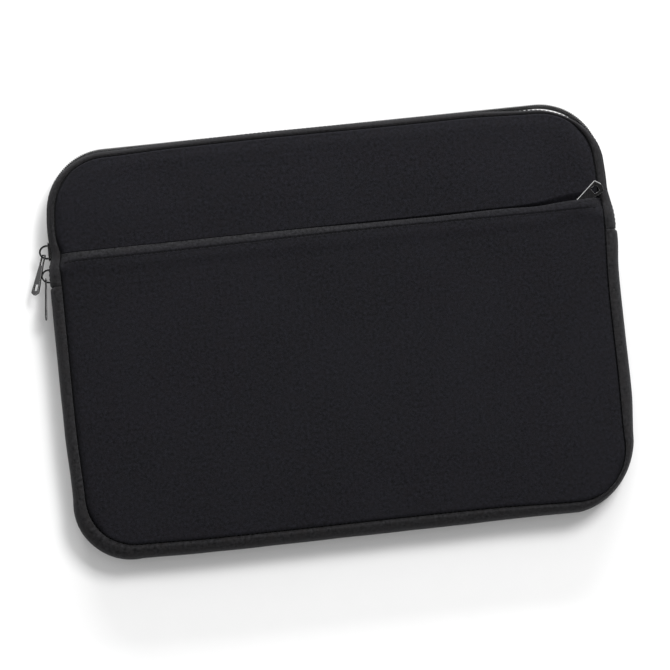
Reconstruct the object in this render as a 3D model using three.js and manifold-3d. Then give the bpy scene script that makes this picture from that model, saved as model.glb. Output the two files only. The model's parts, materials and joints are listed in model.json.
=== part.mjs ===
// A zipped neoprene laptop sleeve lying on its back.
// Millimetres. +X runs along the long side, +Y towards the zipped edge, +Z up through the
// front. The origin is the centre of the flat back face that the sleeve rests on.

import * as THREE from 'three';
import { mergeVertices } from 'three/addons/utils/BufferGeometryUtils.js';
import Module from 'manifold-3d';

const wasm = await Module();
wasm.setup();

// ---- driving dimensions ----

// The seam outline is where the panels meet the gusset: a rectangle with round corners.
const SEAM_HALF_X = 183.6;
const SEAM_HALF_Y = 133.6;
const SEAM_RADIUS = 36;
const GUSSET_BULGE = 6.8; // how far the gusset stands out past the seam
const PANEL_INSET = 0.4; // panels stop this far inside the seam
const CORNER_STEPS = 8;
const GAP = 0.3; // between touching pieces

// heights of the layers, from the back face up
const BACK_TOP = 2.8;
const LINING = 0.7;
const BACK_LINING_Z = BACK_TOP + GAP;
const COMPARTMENT = 9.5;
const FRONT_LINING_Z = BACK_LINING_Z + LINING + COMPARTMENT;
const FRONT_Z = FRONT_LINING_Z + LINING + GAP;
const NEOPRENE = 2.6;
const POCKET_GAP = 4.4;
const POCKET_Z = FRONT_Z + NEOPRENE + POCKET_GAP;
const UPPER_RISE = 3.3; // the front panel rises above the pocket mouth
const UPPER_TOP = FRONT_Z + NEOPRENE + UPPER_RISE;

// the pocket mouth and its hem
const HEM_EDGE_Y = 68.8;
const HEM_START_Y = 57.8;
const HEM_RISE = 1.8;
const HEM_THICKNESS = 2.4;
const RISE_START_Y = 72.8;
const RISE_END_Y = 81.8;

// the gusset: its lower edge at the back seam, its upper edge at the front seam
const GUSSET_Z = 0.5;
const GUSSET_TOP_POCKET = POCKET_Z + 1.9;
const GUSSET_TOP_UPPER = UPPER_TOP - 0.4;
const GUSSET_DROP_START_Y = 55.8; // the front seam drops from the pocket to the upper panel
const GUSSET_DROP_END_Y = 67.8;
const CROSS_SEAM_Y = 47; // where the zip gusset joins the lower gusset
const FOLD_Y = 94; // the front folds away here when the mouth opens
const BELOW = -SEAM_HALF_Y - 5; // past the outline, for solids that are cut to it
const ABOVE = SEAM_HALF_Y + 5;

// the main zip, which lies in the gusset
const ZIP_Z = 10.9;
const STRIP_GAP = 4.7; // from the zip's centre line to each gusset strip
const STRIP_THICKNESS = 2.0;
const TAPE_U = 3.2; // distances outward from the seam outline
const TAPE_THICKNESS = 0.5;
const COIL_U = 4.0;
const COIL_THICKNESS = 1.6;
const COIL_GAP = 0.6; // from the centre line to each coil
const COIL_WIDTH = 1.8;
const STOP_LENGTH = 1.2;

// sliders and pull tabs
const MAIN_SLIDER = {
  length: 12.2, width: 8.2, inner: 1.8, innerPlate: 1.0, channel: 3.1, outerPlate: 1.4,
  crownHalf: 4.8, crownHeight: 6.4, crownWidth: 1.4, wire: 1.0, lipBase: 4.4,
};
const POCKET_SLIDER = {
  length: 9.6, width: 7.0, inner: 0, innerPlate: 0.7, channel: 1.6, outerPlate: 0.8,
  crownHalf: 2.2, crownHeight: 2.6, crownWidth: 1.0, wire: 0.7, lipBase: 1.5,
};
const UPPER_SLIDER_Y = 72.3;
const LOWER_SLIDER_Y = 55.8;
const BAR_OFFSET = 1.9; // the tab's end bar, from the middle of the crown
const BAR_HEIGHT = 3.5; // above the outer plate
const UPPER_TAB_LEAN = 18; // degrees outward from the sleeve's side
const LOWER_TAB_LEAN = 5;
const UPPER_TAB_ROLL = 34;
const MAIN_TAB = { length: 28, thickness: 1.0, wide: 10, narrow: 4.9, slot: 3.0, slotLength: 7 };
const POCKET_TAB = { length: 25.6, thickness: 0.8, wide: 9.8, narrow: 5.0, slot: 3.0, slotLength: 5.5 };

// the pocket zip, which lies flat under the hem
const POCKET_ZIP_Y = 63.8;
const POCKET_ZIP_HALF = 171.7;
const POCKET_TAPE_HALF = 180;
const POCKET_SLIDER_Z = FRONT_Z + NEOPRENE + 0.2;
const POCKET_TAPE_Z = POCKET_SLIDER_Z + 0.9;
const POCKET_TAPE_THICKNESS = 0.4;
const POCKET_COIL_THICKNESS = 0.7;
const POCKET_SLIDER_X = 165.1;
const POCKET_BAR_OFFSET = 0.3;
const POCKET_BAR_HEIGHT = 1.05;
const POCKET_TAB_ANGLE = 34; // degrees from +X, lying on the front

// ---- materials ----

const material = (color, roughness, metalness = 0) =>
  new THREE.MeshStandardMaterial({ color, roughness, metalness });
const JERSEY = { color: 0x1c1d20, roughness: 0.95 };
const LINING_CLOTH = { color: 0x232327, roughness: 1 };
const WEBBING = { color: 0x17181a, roughness: 0.9 };
const NYLON = { color: 0x131315, roughness: 0.45 };
const GUNMETAL = { color: 0x4a4b50, roughness: 0.3, metalness: 1 };

const sleeve = new THREE.Group();

function add(name, geometry, look) {
  const mesh = new THREE.Mesh(geometry, material(look.color, look.roughness, look.metalness));
  mesh.name = name;
  sleeve.add(mesh);
  return mesh;
}

// ---- solids ----

function toSolid(geometry) {
  const bare = geometry.clone();
  bare.deleteAttribute('normal');
  bare.deleteAttribute('uv');
  const merged = mergeVertices(bare, 1e-4);
  const vertProperties = new Float32Array(merged.attributes.position.array);
  const triVerts = new Uint32Array(merged.index.array);
  return new wasm.Manifold(new wasm.Mesh({ numProp: 3, vertProperties, triVerts }));
}

function toGeometry(solid) {
  const { vertProperties, triVerts } = solid.getMesh();
  const geometry = new THREE.BufferGeometry();
  geometry.setAttribute('position', new THREE.BufferAttribute(vertProperties, 3));
  geometry.setIndex(new THREE.BufferAttribute(triVerts, 1));
  return geometry;
}

function extrude(shape, depth, z = 0) {
  const geometry = new THREE.ExtrudeGeometry(shape, { depth, bevelEnabled: false, curveSegments: 4 });
  return geometry.translate(0, 0, z);
}

function box(x0, x1, y0, y1, z0, z1) {
  const geometry = new THREE.BoxGeometry(x1 - x0, y1 - y0, z1 - z0);
  return geometry.translate((x0 + x1) / 2, (y0 + y1) / 2, (z0 + z1) / 2);
}

const polygon = (points) => new THREE.Shape(points.map(([x, y]) => new THREE.Vector2(x, y)));

// A profile of (y, z) points, extruded along X between x0 and x1.
function alongX(points, x0, x1) {
  const geometry = extrude(polygon(points), x1 - x0);
  geometry.applyMatrix4(new THREE.Matrix4().makeBasis(
    new THREE.Vector3(0, 1, 0), new THREE.Vector3(0, 0, 1), new THREE.Vector3(1, 0, 0)));
  return geometry.translate(x0, 0, 0);
}

// ---- the seam outline ----

const CORNER_X = SEAM_HALF_X - SEAM_RADIUS;
const CORNER_Y = SEAM_HALF_Y - SEAM_RADIUS;

// Stations hold a point of the seam outline and its outward direction.
function corner(sideX, sideY, fromDegrees) {
  const stations = [];
  for (let i = 0; i <= CORNER_STEPS; i += 1) {
    const angle = THREE.MathUtils.degToRad(fromDegrees + (90 * i) / CORNER_STEPS);
    const nx = Math.cos(angle);
    const ny = Math.sin(angle);
    const x = sideX * CORNER_X + SEAM_RADIUS * nx;
    const y = sideY * CORNER_Y + SEAM_RADIUS * ny;
    stations.push({ x, y, nx, ny });
  }
  return stations;
}

const side = (sign, y) => ({ x: sign * SEAM_HALF_X, y, nx: sign, ny: 0 });
const topCorners = () => [...corner(1, 1, 0), ...corner(-1, 1, 90)];
const bottomCorners = () => [...corner(-1, -1, 180), ...corner(1, -1, 270)];
const overTop = (y) => [side(1, y), ...topCorners(), side(-1, y)];
const underBottom = (y) => [side(-1, y), ...bottomCorners(), side(1, y)];

function seamShape(offset) {
  const points = [...topCorners(), ...bottomCorners()];
  return polygon(points.map((p) => [p.x + offset * p.nx, p.y + offset * p.ny]));
}

function plate(offset, z, thickness) {
  return extrude(seamShape(offset), thickness, z);
}

// Carries a profile of (outward, height) points along the stations.
function band(stations, profileAt, closed = false) {
  const count = profileAt(stations[0]).length;
  const positions = [];
  for (const station of stations) {
    for (const [u, z] of profileAt(station)) {
      positions.push(station.x + u * station.nx, station.y + u * station.ny, z);
    }
  }
  const index = [];
  const spans = closed ? stations.length : stations.length - 1;
  for (let i = 0; i < spans; i += 1) {
    const next = (i + 1) % stations.length;
    for (let j = 0; j < count; j += 1) {
      const k = (j + 1) % count;
      const a = i * count + j;
      const b = i * count + k;
      const c = next * count + j;
      const d = next * count + k;
      index.push(a, c, b, b, c, d);
    }
  }
  if (!closed) {
    for (const [end, flip] of [[0, false], [stations.length - 1, true]]) {
      const outline = profileAt(stations[end]).map(([u, z]) => new THREE.Vector2(u, z));
      for (const [a, b, c] of THREE.ShapeUtils.triangulateShape(outline, [])) {
        const face = flip ? [a, c, b] : [a, b, c];
        index.push(...face.map((v) => end * count + v));
      }
    }
  }
  const geometry = new THREE.BufferGeometry();
  geometry.setAttribute('position', new THREE.Float32BufferAttribute(positions, 3));
  geometry.setIndex(index);
  return geometry;
}

const rectangle = (u0, u1, z0, z1) => [[u0, z0], [u1, z0], [u1, z1], [u0, z1]];

// ---- panels and linings ----

const ramp = (y, y0, y1, from, to) => THREE.MathUtils.mapLinear(
  THREE.MathUtils.clamp(y, y0, y1), y0, y1, from, to);

// A sheet that lies low behind the pocket and rises above the pocket mouth.
function risingSheet(z, thickness, y0, y1, offset) {
  const low = y0 < RISE_START_Y;
  const rest = low ? [[y0, z], [RISE_START_Y, z], [RISE_END_Y, z + UPPER_RISE]] : [[y0, z + UPPER_RISE]];
  const under = [...rest, [y1, z + UPPER_RISE]];
  const over = under.map(([y, height]) => [y, height + thickness]).reverse();
  const sheet = toSolid(alongX([...under, ...over], -SEAM_HALF_X - 10, SEAM_HALF_X + 10));
  return toGeometry(sheet.intersect(toSolid(plate(offset, -5, 60))));
}

function pocketPanel() {
  const low = POCKET_Z;
  const top = POCKET_Z + NEOPRENE;
  const hem = POCKET_Z + HEM_RISE;
  const hemTop = hem + HEM_THICKNESS;
  const profile = [
    [BELOW, low], [HEM_START_Y - 3, low], [HEM_START_Y, hem], [HEM_EDGE_Y - 0.6, hem],
    [HEM_EDGE_Y, hem + 0.7], [HEM_EDGE_Y, hemTop - 1.1], [HEM_EDGE_Y - 1.4, hemTop - 0.1],
    [HEM_START_Y + 4, hemTop], [HEM_START_Y - 2, top], [BELOW, top],
  ];
  const sheet = toSolid(alongX(profile, -SEAM_HALF_X - 10, SEAM_HALF_X + 10));
  return toGeometry(sheet.intersect(toSolid(plate(-PANEL_INSET, -5, 60))));
}

add('back_panel', plate(-PANEL_INSET, 0, BACK_TOP), JERSEY);
add('back_lining', plate(-PANEL_INSET, BACK_LINING_Z, LINING), LINING_CLOTH);
add('front_panel', risingSheet(FRONT_Z, NEOPRENE, BELOW, FOLD_Y - GAP, -PANEL_INSET), JERSEY);
add('front_panel_flap', risingSheet(FRONT_Z, NEOPRENE, FOLD_Y + GAP, ABOVE, -PANEL_INSET), JERSEY);
add('front_lining',
  risingSheet(FRONT_LINING_Z, LINING, BELOW, FOLD_Y - GAP, -PANEL_INSET), LINING_CLOTH);
add('front_lining_flap',
  risingSheet(FRONT_LINING_Z, LINING, FOLD_Y + GAP, ABOVE, -PANEL_INSET), LINING_CLOTH);
add('pocket_panel', pocketPanel(), JERSEY);

// ---- gussets ----

const gussetTop = (y) =>
  ramp(y, GUSSET_DROP_START_Y, GUSSET_DROP_END_Y, GUSSET_TOP_POCKET, GUSSET_TOP_UPPER);

// The bulging cross-section of the gusset between two heights of its full curve.
function gussetProfile(top, z0, z1, thickness, steps) {
  const outward = (z) => {
    const t = (z - GUSSET_Z) / (top - GUSSET_Z);
    return GUSSET_BULGE * (1 - Math.abs(2 * t - 1) ** 3);
  };
  const outer = [];
  const inner = [];
  for (let i = 0; i <= steps; i += 1) {
    const z = z0 + ((z1 - z0) * i) / steps;
    const slope = (outward(z + 0.01) - outward(z - 0.01)) / 0.02;
    const length = Math.hypot(1, slope);
    const innerZ = THREE.MathUtils.clamp(z + (thickness * slope) / length, z0, z1);
    outer.push([outward(z), z]);
    inner.push([Math.max(0, outward(z) - thickness / length), innerZ]);
  }
  return [...outer, ...inner.reverse()];
}

const lowerGusset = () => gussetProfile(GUSSET_TOP_POCKET, GUSSET_Z, GUSSET_TOP_POCKET, NEOPRENE, 8);
const rearStrip = () => gussetProfile(GUSSET_TOP_UPPER, GUSSET_Z, ZIP_Z - STRIP_GAP, STRIP_THICKNESS, 3);
const frontStrip = ({ y }) =>
  gussetProfile(gussetTop(y), ZIP_Z + STRIP_GAP, gussetTop(y), STRIP_THICKNESS, 3);

// The fixed ends of the front half of the zip gusset, its tape and its coil.
function sideRun(sign, y0, y1) {
  const heights = [y0, GUSSET_DROP_START_Y, GUSSET_DROP_END_Y, y1].map((y) => side(sign, y));
  return sign > 0 ? heights : heights.reverse();
}

add('lower_gusset', band(underBottom(CROSS_SEAM_Y - GAP / 2), lowerGusset), JERSEY);
add('rear_zip_gusset', band(overTop(CROSS_SEAM_Y + GAP / 2), rearStrip), JERSEY);
add('front_zip_gusset_flap', band(overTop(FOLD_Y + GAP), frontStrip), JERSEY);

const frontTape = () =>
  rectangle(TAPE_U, TAPE_U + TAPE_THICKNESS, ZIP_Z + COIL_GAP + 0.4, ZIP_Z + STRIP_GAP - GAP);
const rearTape = () =>
  rectangle(TAPE_U, TAPE_U + TAPE_THICKNESS, ZIP_Z - STRIP_GAP - GAP, ZIP_Z - COIL_GAP - 0.4);
const frontCoil = () =>
  rectangle(COIL_U, COIL_U + COIL_THICKNESS, ZIP_Z + COIL_GAP, ZIP_Z + COIL_GAP + COIL_WIDTH);
const rearCoil = () =>
  rectangle(COIL_U, COIL_U + COIL_THICKNESS, ZIP_Z - COIL_GAP - COIL_WIDTH, ZIP_Z - COIL_GAP);
const CHAIN_HALF = COIL_GAP + COIL_WIDTH;
const zipStop = () =>
  rectangle(COIL_U, COIL_U + COIL_THICKNESS, ZIP_Z - CHAIN_HALF, ZIP_Z + CHAIN_HALF);

const ZIP_END_Y = CROSS_SEAM_Y + GAP;
const COIL_END_Y = ZIP_END_Y + STOP_LENGTH + GAP;
add('rear_zip_tape', band(overTop(ZIP_END_Y), rearTape), WEBBING);
add('rear_zip_coil', band(overTop(COIL_END_Y), rearCoil), NYLON);
add('front_zip_tape_flap', band(overTop(FOLD_Y + GAP), frontTape), WEBBING);
add('front_zip_coil_flap', band(overTop(FOLD_Y + GAP), frontCoil), NYLON);
for (const [sign, name] of [[-1, 'left'], [1, 'right']]) {
  const end = FOLD_Y - GAP;
  const stripRun = sideRun(sign, CROSS_SEAM_Y + GAP / 2, end);
  add(`front_zip_gusset_${name}`, band(stripRun, frontStrip), JERSEY);
  add(`front_zip_tape_${name}`, band(sideRun(sign, ZIP_END_Y, end), frontTape), WEBBING);
  add(`front_zip_coil_${name}`, band(sideRun(sign, COIL_END_Y, end), frontCoil), NYLON);
  const stopRun = [side(sign, ZIP_END_Y), side(sign, ZIP_END_Y + STOP_LENGTH)];
  if (sign < 0) stopRun.reverse();
  add(`zip_end_stop_${name}`, band(stopRun, zipStop), GUNMETAL);
}

// ---- bound seam edges inside ----

const BINDING_IN = -0.9;
const BINDING_OUT = 0.3;
const BINDING_HEIGHT = 3.7;
const backBinding = () => {
  const z = BACK_LINING_Z + LINING + GAP;
  return rectangle(BINDING_IN, BINDING_OUT, z, z + BINDING_HEIGHT);
};
const frontBinding = ({ y }) => {
  const z = FRONT_LINING_Z + ramp(y, RISE_START_Y, RISE_END_Y, 0, UPPER_RISE) - GAP;
  return rectangle(BINDING_IN, BINDING_OUT, z - BINDING_HEIGHT, z);
};
const ring = [...topCorners(), ...bottomCorners()];
const lowerRun = [
  side(-1, FOLD_Y - GAP), side(-1, RISE_END_Y), side(-1, RISE_START_Y),
  ...bottomCorners(),
  side(1, RISE_START_Y), side(1, RISE_END_Y), side(1, FOLD_Y - GAP),
];
add('back_seam_binding', band(ring, backBinding, true), WEBBING);
add('front_seam_binding', band(lowerRun, frontBinding), WEBBING);
add('front_seam_binding_flap', band(overTop(FOLD_Y + GAP), frontBinding), WEBBING);

// ---- the pocket zip ----

function pocketZip() {
  const z = POCKET_TAPE_Z;
  const t = POCKET_TAPE_THICKNESS;
  const sewn = POCKET_Z - GAP - t;
  const lowerEdge = POCKET_ZIP_Y - COIL_GAP - 0.3;
  const upperEdge = POCKET_ZIP_Y + COIL_GAP + 0.3;
  const clear = POCKET_SLIDER.width / 2 + 0.5;
  const lower = [[lowerEdge, z], [lowerEdge, z + t], [POCKET_ZIP_Y - clear, z + t],
    [HEM_START_Y - 3, sewn + t], [HEM_START_Y - 7, sewn + t], [HEM_START_Y - 7, sewn],
    [HEM_START_Y - 3, sewn], [POCKET_ZIP_Y - clear, z]];
  const bed = FRONT_Z + NEOPRENE + GAP;
  const upper = [[upperEdge, z], [POCKET_ZIP_Y + clear, z], [POCKET_ZIP_Y + clear + 1, bed],
    [RISE_START_Y - 0.5, bed], [RISE_START_Y - 0.5, bed + t], [POCKET_ZIP_Y + clear + 1, bed + t],
    [POCKET_ZIP_Y + clear, z + t], [upperEdge, z + t]];
  add('pocket_zip_lower_tape', alongX(lower, -POCKET_TAPE_HALF, POCKET_TAPE_HALF), WEBBING);
  add('pocket_zip_upper_tape', alongX(upper, -POCKET_TAPE_HALF, POCKET_TAPE_HALF), WEBBING);
}
pocketZip();

const POCKET_COIL_Z = POCKET_TAPE_Z + POCKET_TAPE_THICKNESS + 0.1;
const POCKET_COIL_TOP = POCKET_COIL_Z + POCKET_COIL_THICKNESS;
const POCKET_STOP_TOP = POCKET_COIL_TOP + 0.3;
const POCKET_STOP_LENGTH = 2.4;
const POCKET_COIL_WIDTH = 1.5;
for (const [sign, name] of [[-1, 'lower'], [1, 'upper']]) {
  const near = POCKET_ZIP_Y + sign * COIL_GAP;
  const far = near + sign * POCKET_COIL_WIDTH;
  const y = [near, far].sort((a, b) => a - b);
  const coil = box(-POCKET_ZIP_HALF, POCKET_ZIP_HALF, y[0], y[1], POCKET_COIL_Z, POCKET_COIL_TOP);
  add(`pocket_zip_${name}_coil`, coil, NYLON);
  const start = POCKET_ZIP_HALF + GAP;
  const stop = box(
    start, start + POCKET_STOP_LENGTH, y[0], y[1], POCKET_COIL_Z, POCKET_STOP_TOP);
  add(`pocket_zip_${name}_top_stop`, stop, GUNMETAL);
}
const bottomStopHalf = COIL_GAP + POCKET_COIL_WIDTH;
add('pocket_zip_bottom_stop', box(
  -POCKET_ZIP_HALF - GAP - POCKET_STOP_LENGTH, -POCKET_ZIP_HALF - GAP,
  POCKET_ZIP_Y - bottomStopHalf, POCKET_ZIP_Y + bottomStopHalf,
  POCKET_COIL_Z, POCKET_STOP_TOP), GUNMETAL);

// ---- sliders and pull tabs ----

// Length along x with the wide leading end at +x, width along y, outward along z.
function slider(s) {
  const half = s.length / 2;
  const wide = s.width / 2;
  const narrow = wide * 0.72;
  const outline = polygon([
    [-half, -narrow + 0.7], [-half + 0.7, -narrow], [-half * 0.1, -narrow - 0.2], [half * 0.3, -wide],
    [half - 1.2, -wide], [half, -wide + 1.6], [half, wide - 1.6], [half - 1.2, wide],
    [half * 0.3, wide], [-half * 0.1, narrow + 0.2], [-half + 0.7, narrow], [-half, narrow - 0.7],
  ]);
  const innerTop = s.inner + s.innerPlate;
  const outerBottom = innerTop + s.channel;
  const outerTop = outerBottom + s.outerPlate;
  let body = toSolid(extrude(outline, s.innerPlate, s.inner));
  body = body.add(toSolid(extrude(outline, s.outerPlate, outerBottom)));
  body = body.add(toSolid(box(half - 2.6, half - 0.2, -0.3, 0.3, innerTop - 0.1, outerBottom + 0.1)));
  for (const sign of [-1, 1]) {
    const y = [sign * (wide - 0.5), sign * (wide - 0.02)].sort((a, b) => a - b);
    const lip = box(half * 0.3, half - 1.2, y[0], y[1], s.lipBase, outerBottom + 0.1);
    body = body.add(toSolid(lip));
  }
  return toGeometry(body.add(toSolid(crown(s, outerTop))));
}

// The arch over the slider that the tab's end bar sits in.
function crown(s, z) {
  const arch = (half, height) => {
    const radius = Math.min(half, height);
    const shape = new THREE.Shape();
    shape.moveTo(-half, -0.2);
    shape.lineTo(-half, height - radius);
    shape.absellipse(0, height - radius, half, radius, Math.PI, 0, true);
    shape.lineTo(half, -0.2);
    return shape;
  };
  const outer = toSolid(extrude(arch(s.crownHalf, s.crownHeight), s.crownWidth));
  const hole = arch(s.crownHalf - s.wire, s.crownHeight - s.wire);
  const inner = toSolid(extrude(hole, s.crownWidth + 2, -1));
  const wire = toGeometry(outer.subtract(inner));
  wire.applyMatrix4(new THREE.Matrix4().makeBasis(
    new THREE.Vector3(1, 0, 0), new THREE.Vector3(0, 0, 1), new THREE.Vector3(0, -1, 0)));
  return wire.translate(0, s.crownWidth / 2, z);
}

// A tapered tab with its end bar at the origin and its free end at +x.
function pullTab(t) {
  const narrow = t.narrow / 2;
  const wide = t.wide / 2;
  const end = t.length;
  const bar = 0.5;
  const shape = polygon([
    [-bar, -narrow + 0.6], [-bar + 0.6, -narrow], [t.slotLength, -narrow], [end - 2.2, -wide],
    [end - 1.5, -wide + 0.6], [end, -0.8], [end, 0.8], [end - 1.5, wide - 0.6], [end - 2.2, wide],
    [t.slotLength, narrow], [-bar + 0.6, narrow], [-bar, narrow - 0.6],
  ]);
  const slot = t.slot / 2;
  shape.holes.push(polygon([[bar, -slot], [bar, slot], [t.slotLength, slot], [t.slotLength, -slot]]));
  const windowStart = end - 7.6;
  const windowHalf = wide - 2.5;
  shape.holes.push(polygon([
    [windowStart, -windowHalf], [windowStart, windowHalf],
    [end - 3.2, windowHalf], [end - 3.2, -windowHalf],
  ]));
  return extrude(shape, t.thickness, -t.thickness / 2);
}

const vector = (x, y, z) => new THREE.Vector3(x, y, z);

function place(mesh, alongLength, outward, position) {
  const width = vector(0, 0, 0).crossVectors(outward, alongLength);
  const basis = new THREE.Matrix4().makeBasis(alongLength, width, outward);
  mesh.quaternion.setFromRotationMatrix(basis);
  mesh.position.copy(position);
}

const MAIN_PLATE_TOP = MAIN_SLIDER.inner + MAIN_SLIDER.innerPlate + MAIN_SLIDER.channel
  + MAIN_SLIDER.outerPlate;
const barX = -SEAM_HALF_X - MAIN_PLATE_TOP - BAR_HEIGHT;

function mainSlider(name, y, towards, lean, roll) {
  const body = add(`${name}_slider_body`, slider(MAIN_SLIDER), GUNMETAL);
  place(body, vector(0, towards, 0), vector(-1, 0, 0), vector(-SEAM_HALF_X, y, ZIP_Z));
  const angle = THREE.MathUtils.degToRad(lean);
  const along = vector(-Math.sin(angle), -Math.cos(angle), 0);
  const outward = vector(-Math.cos(angle), Math.sin(angle), 0);
  outward.applyAxisAngle(along, -THREE.MathUtils.degToRad(roll));
  const tab = add(`${name}_pull_tab`, pullTab(MAIN_TAB), GUNMETAL);
  place(tab, along, outward, vector(barX, y - BAR_OFFSET, ZIP_Z));
}

mainSlider('upper', UPPER_SLIDER_Y, -1, UPPER_TAB_LEAN, UPPER_TAB_ROLL);
mainSlider('lower', LOWER_SLIDER_Y, 1, LOWER_TAB_LEAN, 0);

const pocketBody = add('pocket_slider_body', slider(POCKET_SLIDER), GUNMETAL);
place(pocketBody, vector(1, 0, 0), vector(0, 0, 1),
  vector(POCKET_SLIDER_X, POCKET_ZIP_Y, POCKET_SLIDER_Z));
const pocketPlateTop = POCKET_SLIDER_Z + POCKET_SLIDER.innerPlate + POCKET_SLIDER.channel
  + POCKET_SLIDER.outerPlate;
const pocketAngle = THREE.MathUtils.degToRad(POCKET_TAB_ANGLE);
const pocketTab = add('pocket_pull_tab', pullTab(POCKET_TAB), GUNMETAL);
place(pocketTab, vector(Math.cos(pocketAngle), Math.sin(pocketAngle), 0), vector(0, 0, 1),
  vector(POCKET_SLIDER_X + POCKET_BAR_OFFSET, POCKET_ZIP_Y, pocketPlateTop + POCKET_BAR_HEIGHT));

export default sleeve;
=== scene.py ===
import json
import math

import bmesh
import bpy
import numpy as np
from mathutils import Matrix, Vector, noise


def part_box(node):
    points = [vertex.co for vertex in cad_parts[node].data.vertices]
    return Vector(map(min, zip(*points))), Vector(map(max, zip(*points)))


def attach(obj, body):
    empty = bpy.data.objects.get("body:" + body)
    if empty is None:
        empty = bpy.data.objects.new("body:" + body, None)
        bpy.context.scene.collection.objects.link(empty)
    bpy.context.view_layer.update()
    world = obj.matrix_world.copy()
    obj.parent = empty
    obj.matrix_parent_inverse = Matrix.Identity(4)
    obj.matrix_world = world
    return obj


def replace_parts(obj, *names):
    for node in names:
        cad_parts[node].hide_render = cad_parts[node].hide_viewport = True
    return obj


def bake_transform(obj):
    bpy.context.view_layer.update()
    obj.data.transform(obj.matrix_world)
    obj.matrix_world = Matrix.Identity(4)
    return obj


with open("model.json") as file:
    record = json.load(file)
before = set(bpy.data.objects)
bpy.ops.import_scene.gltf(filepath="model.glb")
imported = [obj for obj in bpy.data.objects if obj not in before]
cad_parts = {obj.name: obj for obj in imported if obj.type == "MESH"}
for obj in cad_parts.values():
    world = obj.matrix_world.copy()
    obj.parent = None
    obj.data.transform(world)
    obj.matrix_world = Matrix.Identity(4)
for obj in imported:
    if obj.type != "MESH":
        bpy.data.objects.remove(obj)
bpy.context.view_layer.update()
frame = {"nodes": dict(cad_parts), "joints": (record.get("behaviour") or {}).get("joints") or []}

MM = 0.001
TINY = 1e-7

# ---- places taken from the frame ----

PANEL_INSET = 0.4 * MM
SEAM_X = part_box("back_panel")[1].x + PANEL_INSET
SEAM_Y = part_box("back_panel")[1].y + PANEL_INSET
SEAM_R = 36 * MM
CORNER_X = SEAM_X - SEAM_R
CORNER_Y = SEAM_Y - SEAM_R

BACK_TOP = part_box("back_panel")[1].z
GUSSET_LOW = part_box("lower_gusset")[0].z
GUSSET_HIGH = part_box("lower_gusset")[1].z
CROSS_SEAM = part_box("lower_gusset")[1].y
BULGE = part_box("lower_gusset")[1].x - SEAM_X
UPPER_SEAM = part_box("front_zip_gusset_flap")[1].z
STRIP_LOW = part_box("front_zip_gusset_flap")[0].z
REAR_STRIP_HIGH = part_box("rear_zip_gusset")[1].z
ZIP_Z = (STRIP_LOW + REAR_STRIP_HIGH) / 2
ZIP_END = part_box("zip_end_stop_right")[0].y
COIL_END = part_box("front_zip_coil_right")[0].y
COIL_U = [corner.x - SEAM_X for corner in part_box("zip_end_stop_right")]
TAPE_U = [corner.x - SEAM_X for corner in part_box("front_zip_tape_right")]
FRONT_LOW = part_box("front_panel")[0].z
NEOPRENE = BACK_TOP - 0.2 * MM
FRONT_LOW_TOP = FRONT_LOW + NEOPRENE
HEM_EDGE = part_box("pocket_panel")[1].y
POCKET_ZIP_Y = (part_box("pocket_zip_lower_coil")[0].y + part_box("pocket_zip_upper_coil")[1].y) / 2

# the stretch of each side over which the front seam drops from the pocket to the upper panel
SEAM_DROP = (55.8 * MM, 67.8 * MM)
LIP_DEPTH = 2.0 * MM


def smooth(value, low, high):
    t = np.clip((value - low) / (high - low), 0, 1)
    return t * t * (3 - 2 * t)


def hump(value, centre, width):
    return np.exp(-(((value - centre) / width) ** 2))


def ripple(x, y, size, seed):
    """Soft noise from -1 to 1 with features of about the given size in metres."""
    points = np.broadcast_arrays(np.asarray(x, float) / size, np.asarray(y, float) / size)
    flat = [noise.noise(Vector((a, b, seed))) for a, b in zip(points[0].ravel(), points[1].ravel())]
    return np.array(flat).reshape(points[0].shape)


def distances_along(points):
    gaps = np.linalg.norm(np.diff(points, axis=0), axis=1)
    return np.concatenate(([0], gaps.cumsum()))


def values_at(s, along, values):
    """The rows of values, read off at the distances s."""
    return np.stack([np.interp(s, along, values[:, k]) for k in range(3)], -1)


def unit(vectors):
    return vectors / np.linalg.norm(vectors, axis=-1, keepdims=True)


# ---- the seam outline, by distance along it ----

SIDE = 2 * CORNER_Y
ARC = math.pi * SEAM_R / 2
LONG = 2 * CORNER_X
LEFT_START = SIDE + 2 * ARC + LONG
PERIMETER = 2 * (SIDE + LONG) + 4 * ARC


def seam_at(distance):
    """Points and outward directions of the seam; it starts at the right side's lower end, heading up."""
    s = np.mod(np.asarray(distance, float), PERIMETER)
    xy = np.zeros((len(s), 2))
    out = np.zeros((len(s), 2))
    runs = [(SIDE, 0, (SEAM_X, -CORNER_Y)), (LONG, 90, (CORNER_X, SEAM_Y)),
            (SIDE, 180, (-SEAM_X, CORNER_Y)), (LONG, 270, (-CORNER_X, -SEAM_Y))]
    centres = [(CORNER_X, CORNER_Y), (-CORNER_X, CORNER_Y), (-CORNER_X, -CORNER_Y), (CORNER_X, -CORNER_Y)]
    start = 0.0
    for (length, facing, origin), centre in zip(runs, centres):
        angle = math.radians(facing)
        here = (s >= start) & (s <= start + length)
        along = s[here] - start
        out[here] = (math.cos(angle), math.sin(angle))
        xy[here, 0] = origin[0] - math.sin(angle) * along
        xy[here, 1] = origin[1] + math.cos(angle) * along
        start += length
        here = (s > start) & (s < start + ARC)
        turn = angle + (s[here] - start) / SEAM_R
        out[here] = np.column_stack((np.cos(turn), np.sin(turn)))
        xy[here] = np.array(centre) + SEAM_R * out[here]
        start += ARC
    return xy, out


def right_side(y):
    return y + CORNER_Y


def left_side(y):
    return LEFT_START + CORNER_Y - y


def run(start, end, step):
    return np.linspace(start, end, int(round((end - start) / step)) + 1)


def over_top(y, step=3 * MM):
    return run(right_side(y), left_side(y), step)


def under_bottom(y, step=3 * MM):
    return run(left_side(y), PERIMETER + right_side(y), step)


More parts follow.
